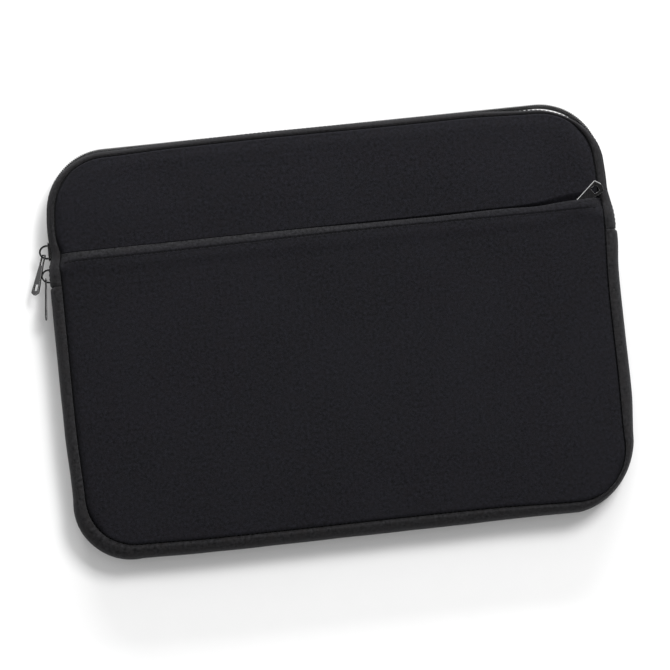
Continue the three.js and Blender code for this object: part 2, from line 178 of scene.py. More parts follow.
def close_ends(distances):
    """Adds rows near both ends of a run, where the cloth turns into a cross seam."""
    near = np.array([0.4, 0.8, 1.3]) * MM
    return np.sort(np.concatenate((distances, distances[0] + near, distances[-1] - near)))


def seam_height(y):
    return GUSSET_HIGH + (UPPER_SEAM - GUSSET_HIGH) * smooth(y, *SEAM_DROP)


# how much fuller each side of the gusset is than BULGE, and how much of that it loses further along
LEFT_FULLER = 1.4 * MM
LEFT_SLACK_AT_ZIP = 2.2 * MM
RIGHT_FULLER = 1.6 * MM
RIGHT_SLACK_AT_ZIP = 1.2 * MM
RIGHT_SLACK_LOW = 2.4 * MM
RIGHT_BELOW_SEAM = 1.0 * MM
BOTTOM_FULLER = 1.5 * MM
BOTTOM_SLACK_RIGHT = 1.9 * MM
TOP_SLACK = 1.7 * MM
TOP_SLACK_RIGHT = 2.0 * MM
LOWER_LEFT_CORNER = 3.2 * MM
LOWER_RIGHT_CORNER = -4.8 * MM
UPPER_LEFT_CORNER = 1.2 * MM
UPPER_RIGHT_CORNER = -3.2 * MM
BULGE_RIPPLE = 0.25 * MM


def bulge(xy, out):
    """How far the gusset stands out past the seam: fuller below the cross seams, slacker at the zip."""
    x, y = xy[:, 0], xy[:, 1]
    left, right = np.clip(-out[:, 0], 0, 1), np.clip(out[:, 0], 0, 1)
    bottom, top = np.clip(-out[:, 1], 0, 1), np.clip(out[:, 1], 0, 1)
    above = smooth(y, CROSS_SEAM, CROSS_SEAM + 40 * MM)
    below_seam = hump(y, CROSS_SEAM - 7 * MM, 11 * MM) * (y < CROSS_SEAM)
    amount = BULGE + left * (LEFT_FULLER - LEFT_SLACK_AT_ZIP * above)
    amount += right * (RIGHT_FULLER - RIGHT_SLACK_AT_ZIP * above + RIGHT_BELOW_SEAM * below_seam)
    amount -= right * RIGHT_SLACK_LOW * smooth(-y, 65 * MM, 105 * MM)
    amount += bottom * (BOTTOM_FULLER - BOTTOM_SLACK_RIGHT * smooth(x, 60 * MM, 150 * MM))
    amount -= top * (TOP_SLACK + TOP_SLACK_RIGHT * smooth(x, 100 * MM, 150 * MM))
    amount += bottom * (LOWER_LEFT_CORNER * left + LOWER_RIGHT_CORNER * right)
    amount += top * (UPPER_LEFT_CORNER * left ** 2 + UPPER_RIGHT_CORNER * right * top)
    return amount + BULGE_RIPPLE * ripple(x, y, 60 * MM, 3.0)


# where the side seams wander along X, as (amount, height up the side, width) in millimetres
HEM_MM = HEM_EDGE / MM
LEFT_WANDER = [(1.3, HEM_MM, 6), (-0.5, HEM_MM - 8, 5), (-1.3, HEM_MM + 17, 13), (1.6, -98, 30)]
RIGHT_WANDER = [(1.6, HEM_MM - 16, 30), (-1.0, HEM_MM + 6, 7), (1.1, 62, 40), (-0.9, -90, 26)]
NEAR_SEAM = 16 * MM
TOP_CORNERS_DROP = 1.5 * MM
TOP_RIGHT_DROP = 0.4 * MM
BOTTOM_RISE = 0.4 * MM
BOTTOM_MIDDLE_RISE = 0.5 * MM
BOTTOM_RIGHT_DROP = 1.8 * MM
BOTTOM_LEFT_RISE = 1.0 * MM
EDGE_RIPPLE = 0.4 * MM


def wander(y, humps):
    return sum(amount * MM * hump(y, centre * MM, width * MM) for amount, centre, width in humps)


def shifted(points):
    """The slight wandering of hand-sewn seams, the same for every soft piece."""
    x, y = points[:, 0], points[:, 1]
    moved = points.copy()
    moved[:, 0] += hump(x, -SEAM_X, NEAR_SEAM) * wander(y, LEFT_WANDER)
    moved[:, 0] += hump(x, SEAM_X, NEAR_SEAM) * wander(y, RIGHT_WANDER)
    drop = TOP_CORNERS_DROP * smooth(np.abs(x), 95 * MM, 150 * MM)
    drop += TOP_RIGHT_DROP * smooth(x, 0, 90 * MM)
    rise = BOTTOM_RISE + BOTTOM_MIDDLE_RISE * smooth(x, -60 * MM, 30 * MM)
    rise += BOTTOM_LEFT_RISE * smooth(-x, 95 * MM, 150 * MM)
    rise -= BOTTOM_RIGHT_DROP * smooth(x, 80 * MM, 150 * MM)
    moved[:, 1] += hump(y, -SEAM_Y, NEAR_SEAM) * rise - hump(y, SEAM_Y, NEAR_SEAM) * drop
    edge = np.clip(np.maximum(np.abs(x) / SEAM_X, np.abs(y) / SEAM_Y), 0, 1) ** 6
    moved[:, 1] += EDGE_RIPPLE * edge * ripple(x, y, 70 * MM, 11.0)
    return moved


# ---- mesh making ----

def make(name, points, faces, uvs=None, sew=True):
    points = np.asarray(points, float)
    if sew:
        points = shifted(points)
    mesh = bpy.data.meshes.new(name)
    mesh.from_pydata(points.tolist(), [], [list(map(int, f)) for f in faces])
    mesh.update()
    if uvs is not None:
        layer = mesh.uv_layers.new(name="cloth")
        corners = np.zeros(len(mesh.loops), np.int32)
        mesh.loops.foreach_get("vertex_index", corners)
        layer.data.foreach_set("uv", np.asarray(uvs, np.float32)[corners].ravel())
    mesh.polygons.foreach_set("use_smooth", [True] * len(mesh.polygons))
    obj = bpy.data.objects.new(name, mesh)
    bpy.context.collection.objects.link(obj)
    return obj


def grid_faces(rows, columns, wrap_rows=False, wrap_columns=False, start=0):
    i = np.arange(rows if wrap_rows else rows - 1)
    j = np.arange(columns if wrap_columns else columns - 1)
    i, j = [a.ravel() for a in np.meshgrid(i, j, indexing="ij")]
    i2, j2 = (i + 1) % rows, (j + 1) % columns
    row, row2 = i * columns, i2 * columns
    return start + np.column_stack((row + j, row2 + j, row2 + j2, row + j2))


def face_out(obj):
    bm = bmesh.new()
    bm.from_mesh(obj.data)
    bmesh.ops.recalc_face_normals(bm, faces=bm.faces)
    bm.to_mesh(obj.data)
    bm.free()
    return obj


SHARP_ANGLE = math.radians(60)


def band(name, distances, profile, closed=False, sew=True):
    """Sweeps a closed (outward, height) profile along the seam; profile gives rows x columns x 2."""
    xy, out = seam_at(distances)
    section = profile(xy, out)
    rows, columns = section.shape[:2]
    points = np.zeros((rows, columns, 3))
    points[..., :2] = xy[:, None] + section[..., :1] * out[:, None]
    points[..., 2] = section[..., 1]
    around = np.hypot(*np.diff(section[0], axis=0, append=section[0][:1]).T).cumsum()
    uv = np.stack(np.broadcast_arrays(distances[:, None], around[None]), -1)
    faces = grid_faces(rows, columns, wrap_rows=closed, wrap_columns=True).tolist()
    if not closed:
        last = (rows - 1) * columns
        faces += [list(range(columns))[::-1], list(range(last, last + columns))]
    obj = face_out(make(name, points.reshape(-1, 3), faces, uv.reshape(-1, 2), sew))
    obj.data.set_sharp_from_angle(angle=SHARP_ANGLE)
    return obj


def tube(centres, radii, reference, sides=5):
    """Points and faces of a round tube; reference holds a direction off each tangent."""
    centres = np.asarray(centres, float)
    tangent = unit(np.gradient(centres, axis=0))
    side = unit(np.cross(tangent, reference))
    up = np.cross(side, tangent)
    angle = np.arange(sides) * 2 * math.pi / sides
    ring = side[:, None] * np.cos(angle)[None, :, None] + up[:, None] * np.sin(angle)[None, :, None]
    points = centres[:, None] + ring * np.asarray(radii).reshape(-1, 1, 1)
    faces = grid_faces(len(centres), sides, wrap_columns=True).tolist()
    last = (len(centres) - 1) * sides
    faces += [list(range(sides))[::-1], list(range(last, last + sides))]
    return points.reshape(-1, 3), faces


# ---- panels: a grid of rows across the sleeve, each as wide as the outline there ----

EDGE_STEPS = np.array([0, 0.2, 0.45, 0.75, 1.1, 1.6, 2.4, 3.8, 6, 9, 12.5]) * MM
EDGE_ZONE = 16 * MM


def half_width(y, inset):
    beyond = np.clip(np.abs(y) - CORNER_Y, 0, SEAM_R - inset)
    return CORNER_X + np.sqrt(np.clip((SEAM_R - inset) ** 2 - beyond ** 2, 0, None))


def edge_distance(x, y, inset):
    qx = np.abs(x) - CORNER_X
    qy = np.abs(y) - CORNER_Y
    outside = np.hypot(np.maximum(qx, 0), np.maximum(qy, 0))
    return SEAM_R - inset - outside - np.minimum(np.maximum(qx, qy), 0)


def corner_rows(sign, inset):
    turn = np.radians(np.arange(5, 91, 5))
    return sign * (CORNER_Y + (SEAM_R - inset) * np.sin(turn))


def panel_grid(y_values, inset, step=4 * MM):
    inner = run(-(SEAM_X - EDGE_ZONE), SEAM_X - EDGE_ZONE, step)
    across = np.concatenate((-(SEAM_X - EDGE_STEPS), inner, (SEAM_X - EDGE_STEPS)[::-1])) / SEAM_X
    y_values = np.sort(np.unique(np.round(y_values, 7)))
    y = np.repeat(y_values[:, None], len(across), 1)
    x = half_width(y, inset) * across[None]
    return x, y


def panel(name, x, y, top, bottom):
    rows, columns = x.shape
    upper = np.stack((x, y, top), -1).reshape(-1, 3)
    lower = np.stack((x, y, bottom), -1).reshape(-1, 3)
    count = rows * columns
    faces = grid_faces(rows, columns).tolist()
    faces += grid_faces(rows, columns, start=count)[:, ::-1].tolist()
    rim = list(range(columns)) + [r * columns + columns - 1 for r in range(1, rows)]
    rim += [count - 1 - c for c in range(1, columns)] + [r * columns for r in range(rows - 2, 0, -1)]
    for a, b in zip(rim, rim[1:] + rim[:1]):
        faces.append([a, b, b + count, a + count])
    uv = np.tile(np.stack((x, y), -1).reshape(-1, 2), (2, 1))
    return face_out(make(name, np.vstack((upper, lower)), faces, uv))


SIM_FRAMES = 20
BILLOW_LIFT = 1.5
BILLOW_SHARE = 0.5
PINNED_RIM = 3 * MM


def inflate(x, y, height, pinned, limit):
    """Lets a pinned cloth sheet billow under a steady lift; gives how far each point rose."""
    rows, columns = x.shape
    points = np.stack((x, y, height), -1).reshape(-1, 3)
    sheet = make("inflating", points, grid_faces(rows, columns), sew=False)
    group = sheet.vertex_groups.new(name="pinned")
    group.add(np.flatnonzero(pinned.ravel()).tolist(), 1.0, "REPLACE")
    cloth = sheet.modifiers.new("cloth", "CLOTH")
    cloth.settings.quality = 6
    cloth.settings.mass = 0.25
    cloth.settings.tension_stiffness = 12
    cloth.settings.compression_stiffness = 12
    cloth.settings.bending_stiffness = 2.0
    cloth.settings.vertex_group_mass = "pinned"
    cloth.settings.pin_stiffness = 1
    cloth.settings.effector_weights.gravity = -BILLOW_LIFT
    cloth.collision_settings.use_collision = False
    cloth.point_cache.frame_start = 1
    cloth.point_cache.frame_end = SIM_FRAMES
    for number in range(1, SIM_FRAMES + 1):
        bpy.context.scene.frame_set(number)
    evaluated = sheet.evaluated_get(bpy.context.evaluated_depsgraph_get())
    moved = np.zeros(len(points) * 3)
    evaluated.data.vertices.foreach_get("co", moved)
    risen = moved.reshape(-1, 3)[:, 2].reshape(rows, columns) - height
    bpy.data.objects.remove(sheet)
    bpy.context.scene.frame_set(1)
    return np.clip(risen, 0, limit)


def billow(x, y, height, pinned, limit):
    rise = inflate(x, y, height, pinned, limit)
    return rise * BILLOW_SHARE


# the groove's depth, as a share of LIP_DEPTH, and its width
LIP_TOP = 0.38
LIP_BOTTOM = 0.50
LIP_SIDE = 1.65
LIP_NARROW = 0.55 * MM
LIP_WIDE = 1.75 * MM
LIP_TURN = 12 * MM
LIP_POWER = 1.3


def lip(x, y, distance):
    """The drop of a panel's face into the seam groove: deep and wide on the sides, tight along the top."""
    side = smooth(np.abs(x) - CORNER_X - np.abs(y) + CORNER_Y, -LIP_TURN, LIP_TURN)
    level = np.where(y < 0, LIP_BOTTOM, LIP_TOP)
    depth = LIP_DEPTH * (level + (LIP_SIDE - level) * side)
    width = LIP_NARROW + (LIP_WIDE - LIP_NARROW) * side
    return depth * np.exp(-(np.maximum(distance, 0) / width) ** LIP_POWER)


def all_rows(low, high, step, extra=()):
    middle = run(-CORNER_Y, CORNER_Y, step)
    y = np.concatenate((corner_rows(-1, PANEL_INSET), middle, corner_rows(1, PANEL_INSET), extra))
    return y[(y >= low - TINY) & (y <= high + TINY)]


BACK_EDGE_LIFT = 1.3 * MM
BACK_EDGE_DROP = 0.4 * MM
BACK_EDGE_WIDTH = 1.2 * MM


def back_panel():
    x, y = panel_grid(all_rows(-SEAM_Y, SEAM_Y, 5 * MM), PANEL_INSET)
    rim = np.exp(-edge_distance(x, y, PANEL_INSET) / BACK_EDGE_WIDTH)
    return panel("back_neoprene", x, y, BACK_TOP - BACK_EDGE_DROP * rim, BACK_EDGE_LIFT * rim)


RISE = (HEM_EDGE - 1.9 * MM, HEM_EDGE + 1.0 * MM)
HELD_START = 2.5 * MM
HELD_END = 5.0 * MM
FRONT_BILLOW = 1.5 * MM
FRONT_RIPPLE = 0.25 * MM
RIM_THINNING = 0.8 * MM
RIM_WIDTH = 1.5 * MM


def front_rise(x, y):
    """0 to 1 where the front panel climbs out from under the hem; it stays low beside the pocket's tab."""
    held_back = hump(x, SEAM_X - 12 * MM, 22 * MM)
    return smooth(y, RISE[0] + HELD_START * held_back, RISE[1] + HELD_END * held_back)


def front_panel():
    extra = HEM_EDGE + np.arange(-3.5, 6.5, 0.35) * MM
    x, y = panel_grid(all_rows(-SEAM_Y, SEAM_Y, 4 * MM, extra), PANEL_INSET)
    distance = edge_distance(x, y, PANEL_INSET)
    raised = front_rise(x, y)
    plateau = seam_height(np.maximum(y, HEM_EDGE)) + 0.3 * MM
    top = FRONT_LOW_TOP + (plateau - FRONT_LOW_TOP) * raised
    pinned = (distance < PINNED_RIM) | (y < RISE[1] + 1 * MM)
    by_tab = hump(x, SEAM_X - 8 * MM, 24 * MM) * hump(y, HEM_EDGE + 6 * MM, 14 * MM)
    puff = billow(x, y, top, pinned, FRONT_BILLOW) * (1 - by_tab) * smooth(y, RISE[1], RISE[1] + 30 * MM)
    top += puff + FRONT_RIPPLE * raised * ripple(x, y, 45 * MM, 5.0)
    top -= lip(x, y, distance) * raised
    thickness = NEOPRENE - RIM_THINNING * np.exp(-distance / RIM_WIDTH)
    return panel("front_neoprene", x, y, top, top - thickness)


# the hem's upper face and under face, as (distance below its edge, height)
HEM_OVER = np.array([[0, 22.7], [0.25, 23.25], [0.7, 23.65], [1.6, 24.1], [3.2, 24.65], [5.0, 25.05],
                     [5.9, 25.0], [6.5, 24.6], [7.1, 24.95], [9, 24.95], [13, 24.4], [18, 24.0]]) * MM
HEM_UNDER = np.array([[0, 22.5], [0.6, 22.15], [2, 22.4], [4, 22.95], [8, 23.0], [11, 22.5], [15, 21.5],
                      [18, 21.35]]) * MM
HEM_STITCH = 6.5 * MM
STITCH_LIFT = 1.2 * MM
HEM_RIPPLE = 0.2 * MM
HEM_DROOP = 0.05 * MM
# where the hem's edge droops, as (amount, place along X, width) in millimetres
SEAM_MM = SEAM_X / MM
DROOP = [(1.1, 70, 75), (1.2, SEAM_MM - 38, 17), (-0.7, 156, 12), (-0.5, SEAM_MM - 4, 9)]
HEM_ROLL = 0.55 * MM
HEM_STANDS = 0.9 * MM
POCKET_RIM = 13 * MM
POCKET_BILLOW = 1.6 * MM
POCKET_RIPPLE = 0.25 * MM
GAPE = 0.7 * MM
GAPE_SAG = 0.2 * MM


def hem_shift(x, y):
    """How the hem wanders along the sleeve: its edge droops, and its stitches ride up in the middle."""
    below = HEM_EDGE - y
    lifted = STITCH_LIFT * hump(x, 20 * MM, 80 * MM) * hump(below, HEM_STITCH, 4 * MM)
    edge = HEM_RIPPLE * ripple(x, 0 * x, 30 * MM, 2.0) - HEM_DROOP - wander(x, DROOP)
    return lifted + edge * smooth(-below, -HEM_STITCH, 0)


def pocket_heights(x, y):
    distance = edge_distance(x, y, PANEL_INSET)
    below = HEM_EDGE - y
    over = np.interp(below, HEM_OVER[:, 0], HEM_OVER[:, 1])
    rolled = HEM_ROLL * smooth(-below, -5 * MM, 0) * smooth(-x, -120 * MM, 60 * MM)
    over -= rolled * np.clip(below / (0.7 * MM), 0, 1)
    under = np.interp(below, HEM_UNDER[:, 0], HEM_UNDER[:, 1])
    inward = smooth(distance, 0, POCKET_RIM)
    edge_over = seam_height(y) + 0.5 * MM + HEM_STANDS * smooth(-below, -18 * MM, -10 * MM)
    over = edge_over + (over - edge_over) * inward
    edge_under = edge_over - NEOPRENE
    under = edge_under + (under - edge_under) * inward
    return distance, over, under


def pocket_panel():
    hem_rows = HEM_EDGE - np.unique(np.concatenate((HEM_OVER[:, 0], np.arange(0, 9, 0.6) * MM)))
    y_values = np.concatenate((all_rows(-SEAM_Y, HEM_EDGE - 10 * MM, 4 * MM), hem_rows))
    x, y = panel_grid(y_values, PANEL_INSET)
    distance, over, under = pocket_heights(x, y)
    pinned = (distance < PINNED_RIM) | (y > HEM_EDGE - 9 * MM)
    puff = billow(x, y, over, pinned, POCKET_BILLOW) * smooth(distance, 0, 45 * MM)
    over = over + puff + POCKET_RIPPLE * ripple(x, y, 50 * MM, 8.0) * smooth(distance, 0, 20 * MM)
    over -= lip(x, y, distance)
    # the mouth gapes over the slider at the right and sags a little beside it
    gape = GAPE * hump(x, SEAM_X - 9 * MM, 12 * MM) - GAPE_SAG * hump(x, SEAM_X - 42 * MM, 16 * MM)
    gape *= smooth(y, HEM_EDGE - 8 * MM, HEM_EDGE)
    over += gape
    under = np.minimum(under + gape + 0.3 * puff, over - 0.15 * MM)
    return panel("pocket_neoprene", x, y + hem_shift(x, y), over, under)


# ---- gussets ----

BULGE_POWER = 2.5
GROOVE_HALF = 0.3 * MM
GROOVE_ROLL = 0.7 * MM
GROOVE_INSIDE = 0.25 * MM
CROSS_SEAM_DIP = 1.1 * MM
CROSS_SEAM_HALF = 0.75 * MM
GUSSET_RIPPLE = 0.18 * MM


def gusset_outward(z, low, high, amount):
    rel = np.abs((z - (low + high) / 2) / ((high - low) / 2))
    return amount * np.clip(1 - rel ** BULGE_POWER, 0, 1) ** (1 / BULGE_POWER)


def gusset_section(xy, out, low_at, high_at, thickness, columns):
    """Closed rows of the bulging band between two heights; an end at a seam dips into the groove."""
    y = xy[:, 1]
    high = seam_height(y)
    amount = bulge(xy, out)
    z0 = np.full(len(y), GUSSET_LOW) if low_at is None else np.full(len(y), low_at)
    z1 = high if high_at is None else np.full(len(y), high_at)
    mid = (GUSSET_LOW + high) / 2
    half = (high - GUSSET_LOW) / 2
    a0 = np.arcsin(np.clip((z0 - mid) / half, -1, 1))
    a1 = np.arcsin(np.clip((z1 - mid) / half, -1, 1))
    t = np.linspace(0, 1, columns)
    z = mid[:, None] + half[:, None] * np.sin(a0[:, None] + (a1 - a0)[:, None] * t[None])
    u = gusset_outward(z, GUSSET_LOW, high[:, None], amount[:, None])
    u = u - CROSS_SEAM_DIP * hump(y, CROSS_SEAM, CROSS_SEAM_HALF)[:, None] * (u > 1.5 * MM)
    slack = GUSSET_RIPPLE * ripple(xy[:, 0], xy[:, 1], 22 * MM, 6.0)[:, None] * np.sin(math.pi * t)[None]
    u = u + slack + GROOVE_HALF * (1 - smooth(u, 0, 2 * MM))
    z = z - GROOVE_ROLL * hump(u, GROOVE_HALF, 0.8 * MM) * smooth(z, mid[:, None], high[:, None])
    inner_u = np.clip(u - thickness, 0.1 * MM, None)
    lift = np.sin(a0[:, None] + (a1 - a0)[:, None] * t[None]) ** 3 * thickness
    inner_z = np.clip(z - lift, z0[:, None] + 0.2 * MM, z1[:, None] - 0.2 * MM)
    outer = np.stack((u, z), -1)
    inner = np.stack((inner_u, inner_z), -1)[:, ::-1]
    parts = [outer]
    groove = np.full((len(y), 1, 2), GROOVE_INSIDE)
    if high_at is None:
        groove_high = groove.copy()
        groove_high[:, 0, 1] = z1 - LIP_DEPTH
        parts.append(groove_high)
        inner[:, 0, 1] = z1 - thickness - 0.3 * MM
    parts.append(inner)
    if low_at is None:
        groove_low = groove.copy()
        groove_low[:, 0, 1] = z0 + LIP_DEPTH * 0.7
        parts.append(groove_low)
        inner[:, -1, 1] = z0 + thickness
    return np.concatenate(parts, axis=1)


STRIP = 2.0 * MM
STRIP_END = CROSS_SEAM + 0.3 * MM


def gusset(name, distances, low, high, thickness, columns):
    def section(xy, out):
        return gusset_section(xy, out, low, high, thickness, columns)
    return band(name, close_ends(distances), section)


def lower_gusset():
    return gusset("lower_gusset_neoprene", under_bottom(CROSS_SEAM), None, None, NEOPRENE, 23)


def front_strip():
    return gusset("zip_gusset_front", over_top(STRIP_END), STRIP_LOW, None, STRIP, 12)


def rear_strip():
    return gusset("zip_gusset_rear", over_top(STRIP_END), None, REAR_STRIP_HIGH, STRIP, 12)


STRIP_WAVE = 0.08 * MM


def rectangle_section(u0, u1, z0, z1, count=4):
    """A flat strip's section, with points along its height so that it can wave."""
    z = np.linspace(0, 1, count)

    def section(xy, out):
        low = z0(xy[:, 1]) if callable(z0) else np.full(len(xy), z0)
        high = z1(xy[:, 1]) if callable(z1) else np.full(len(xy), z1)
        heights = low[:, None] + (high - low)[:, None] * z[None]
        wave = STRIP_WAVE * ripple(xy[:, 0], xy[:, 1], 15 * MM, 4.0)[:, None]
        outer = np.stack((u1 + wave + 0 * heights, heights), -1)
        inner = np.stack((u0 + wave + 0 * heights, heights), -1)[:, ::-1]
        return np.concatenate((outer, inner), axis=1)
    return section


# ---- zips ----

TURN_STEPS = 9
UP = np.array([0, 0, 1.0])


def coil(name, centres, across, half_across, half_height, pitch, wire):
    """A nylon coil: a flattened helix round a line of centres; across holds unit directions."""
    along = distances_along(centres)
    count = int(along[-1] / pitch) * TURN_STEPS
    s = np.linspace(0, along[-1], count)
    at = values_at(s, along, centres)
    side = unit(values_at(s, along, across))
    angle = 2 * math.pi * s / pitch
    radial = side * np.cos(angle)[:, None] * half_across + UP * np.sin(angle)[:, None] * half_height
    points, faces = tube(at + radial, np.full(count, wire), radial)
    return make(name, points, faces, sew=False)


MAIN_COIL = {"half_across": 0.55 * MM, "half_height": 0.95 * MM, "pitch": 1.45 * MM, "wire": 0.3 * MM}
MAIN_COIL_GAP = 0.12 * MM
POCKET_COIL = {"half_across": 0.55 * MM, "half_height": 0.28 * MM, "pitch": 1.3 * MM, "wire": 0.24 * MM}
POCKET_COIL_GAP = 0.13 * MM


def main_coil(name, sign):
    xy, out = seam_at(over_top(COIL_END, 2 * MM))
    z = ZIP_Z + sign * (MAIN_COIL_GAP + MAIN_COIL["half_height"] + MAIN_COIL["wire"])
    u = sum(COIL_U) / 2
    centres = np.column_stack((xy + u * out, np.full(len(xy), z)))
    across = np.column_stack((out, np.zeros(len(xy))))
    return coil(name, centres, across, **MAIN_COIL)


def pocket_coil(name, node, sign):
    low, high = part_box(node)
    y = POCKET_ZIP_Y + sign * (POCKET_COIL_GAP + POCKET_COIL["half_across"] + POCKET_COIL["wire"])
    x = run(low.x, high.x, 4 * MM)
    z = (low.z + high.z) / 2
    centres = np.column_stack((x, np.full(len(x), y), np.full(len(x), z)))
    across = np.tile([0, 1.0, 0], (len(x), 1))
    return coil(name, centres, across, **POCKET_COIL)


TAPE_THICKNESS = 0.36 * MM
TAPE_WAVE = 0.03 * MM


def pocket_tape(name, profile):
    """A tape along X, from the (y, height) line of its under face."""
    low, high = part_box("pocket_zip_lower_tape")
    x = run(low.x, high.x, 3 * MM)
    profile = np.array(profile)
    loop = np.vstack((profile, (profile + [0, TAPE_THICKNESS])[::-1]))
    wave = TAPE_WAVE * ripple(x, 0 * x, 18 * MM, 7.0)
    points = np.zeros((len(x), len(loop), 3))
    points[..., 0] = x[:, None]
    points[..., 1] = loop[None, :, 0]
    points[..., 2] = loop[None, :, 1] + wave[:, None]
    around = np.hypot(*np.diff(loop, axis=0, append=loop[:1]).T).cumsum()
    uv = np.stack(np.broadcast_arrays(x[:, None], around[None]), -1)
    faces = grid_faces(len(x), len(loop), wrap_columns=True).tolist()
    last = (len(x) - 1) * len(loop)
    faces += [list(range(len(loop))), list(range(last, last + len(loop)))]
    return face_out(make(name, points.reshape(-1, 3), faces, uv.reshape(-1, 2), sew=False))


def metal(name, node, bevel, plating=0.0):
    """A metal piece of the frame, thickened by its plating, with its edges rounded over."""
    source = frame["nodes"][node]
    mesh = source.data.copy()
    mesh.name = name
    obj = bpy.data.objects.new(name, mesh)
    bpy.context.collection.objects.link(obj)
    mesh.materials.clear()
    mesh.materials.append(None)
    mesh.materials.append(None)  # the second slot marks the faces that the rounding adds
    mesh.polygons.foreach_set("use_smooth", [True] * len(mesh.polygons))
    weld = obj.modifiers.new("weld", "WELD")
    weld.merge_threshold = 0.005 * MM
    flat = obj.modifiers.new("flat", "DECIMATE")
    flat.decimate_type = "DISSOLVE"
    flat.angle_limit = math.radians(2)
    thicker = obj.modifiers.new("thicker", "DISPLACE")
    thicker.strength = plating
    thicker.mid_level = 0
    round_over = obj.modifiers.new("round", "BEVEL")
    round_over.width = bevel
    round_over.segments = 3
    round_over.material = 1
    round_over.limit_method = "ANGLE"
    round_over.angle_limit = math.radians(32)
    keep_flat = obj.modifiers.new("keep_flat", "WEIGHTED_NORMAL")
    keep_flat.weight = 100
    evaluated = obj.evaluated_get(bpy.context.evaluated_depsgraph_get())
    rounded = bpy.data.meshes.new_from_object(evaluated)
    obj.modifiers.clear()
    obj.data = rounded
    added = np.zeros(len(rounded.polygons), np.int32)
    rounded.polygons.foreach_get("material_index", added)
    # the metal's material paints a highlight on the faces that the rounding adds
    share = rounded.attributes.new("rounded", "FLOAT", "FACE")
    share.data.foreach_set("value", added.astype(np.float32))
    rounded.polygons.foreach_set("material_index", np.zeros(len(added), np.int32))
    return obj


# ---- stitches ----

STITCH_SINK = 0.3
STITCH_ENDS = 0.45


def stitches(name, points, normals, pitch, length, wire):
    """Thread stitches along a line of points; each one bows up out of the cloth and dives back."""
    points = np.asarray(points, float)
    along = distances_along(points)
    starts = np.arange(0.3 * pitch, along[-1] - length, pitch)
    t = np.linspace(0, 1, 6)
    s = starts[:, None] + t[None] * length
    at = values_at(s, along, points)
    up = unit(values_at(s, along, normals))
    arch = np.sin(math.pi * t)
    at = at + up * ((arch ** 0.5 * (1 + STITCH_SINK) - STITCH_SINK) * wire)[None, :, None]
    radii = wire * (STITCH_ENDS + (1 - STITCH_ENDS) * arch ** 0.5)
    all_points, all_faces = [], []
    for row, lifted in zip(at, up):
        body, faces = tube(row, radii, lifted, sides=6)
        base = sum(map(len, all_points))
        all_points.append(body)
        all_faces += [[base + v for v in face] for face in faces]
    return make(name, np.vstack(all_points), all_faces)


def hem_stitching():
    x = run(-SEAM_X + 2.5 * MM, SEAM_X - 2.5 * MM, 2 * MM)
    y = np.full(len(x), HEM_EDGE - HEM_STITCH)
    _, over, _ = pocket_heights(x, y)
    points = np.column_stack((x, y + hem_shift(x, y), over - 0.02 * MM))
    up = np.tile([0, 0, 1.0], (len(x), 1))
    return stitches("hem_stitching", points, up, 3.0 * MM, 2.1 * MM, 0.24 * MM)


def groove_stitching(name, height, up):
    xy, out = seam_at(np.arange(0, PERIMETER, 2 * MM))
    z = height(xy[:, 1])
    points = np.column_stack((xy - 0.12 * MM * out, z))
    normals = np.tile([0, 0, float(up)], (len(xy), 1))
    return stitches(name, points, normals, 3.1 * MM, 2.0 * MM, 0.2 * MM)


STRIP_ROW = 1.2 * MM  # from the strip's edge to its stitches


def strip_stitching(name, z):
    """Topstitching along the zip gusset, beside the zip."""
    xy, out = seam_at(over_top(CROSS_SEAM + 2 * MM, 2 * MM))
    amount = bulge(xy, out)
    high = seam_height(xy[:, 1])
    u = gusset_outward(np.full(len(xy), z), GUSSET_LOW, high, amount)
    points = np.column_stack((xy + (u + 0.05 * MM)[:, None] * out, np.full(len(xy), z)))
    normals = np.column_stack((out, np.zeros(len(xy))))
    return stitches(name, points, normals, 3.0 * MM, 2.2 * MM, 0.19 * MM)


# ---- materials ----

WALE = 0.55 * MM  # the knit's stitch width and height
COURSE = 0.45 * MM
HERRINGBONE = 2.4 * MM
YARN_ALONG = 0.6 * MM
YARN_ACROSS = 0.35 * MM


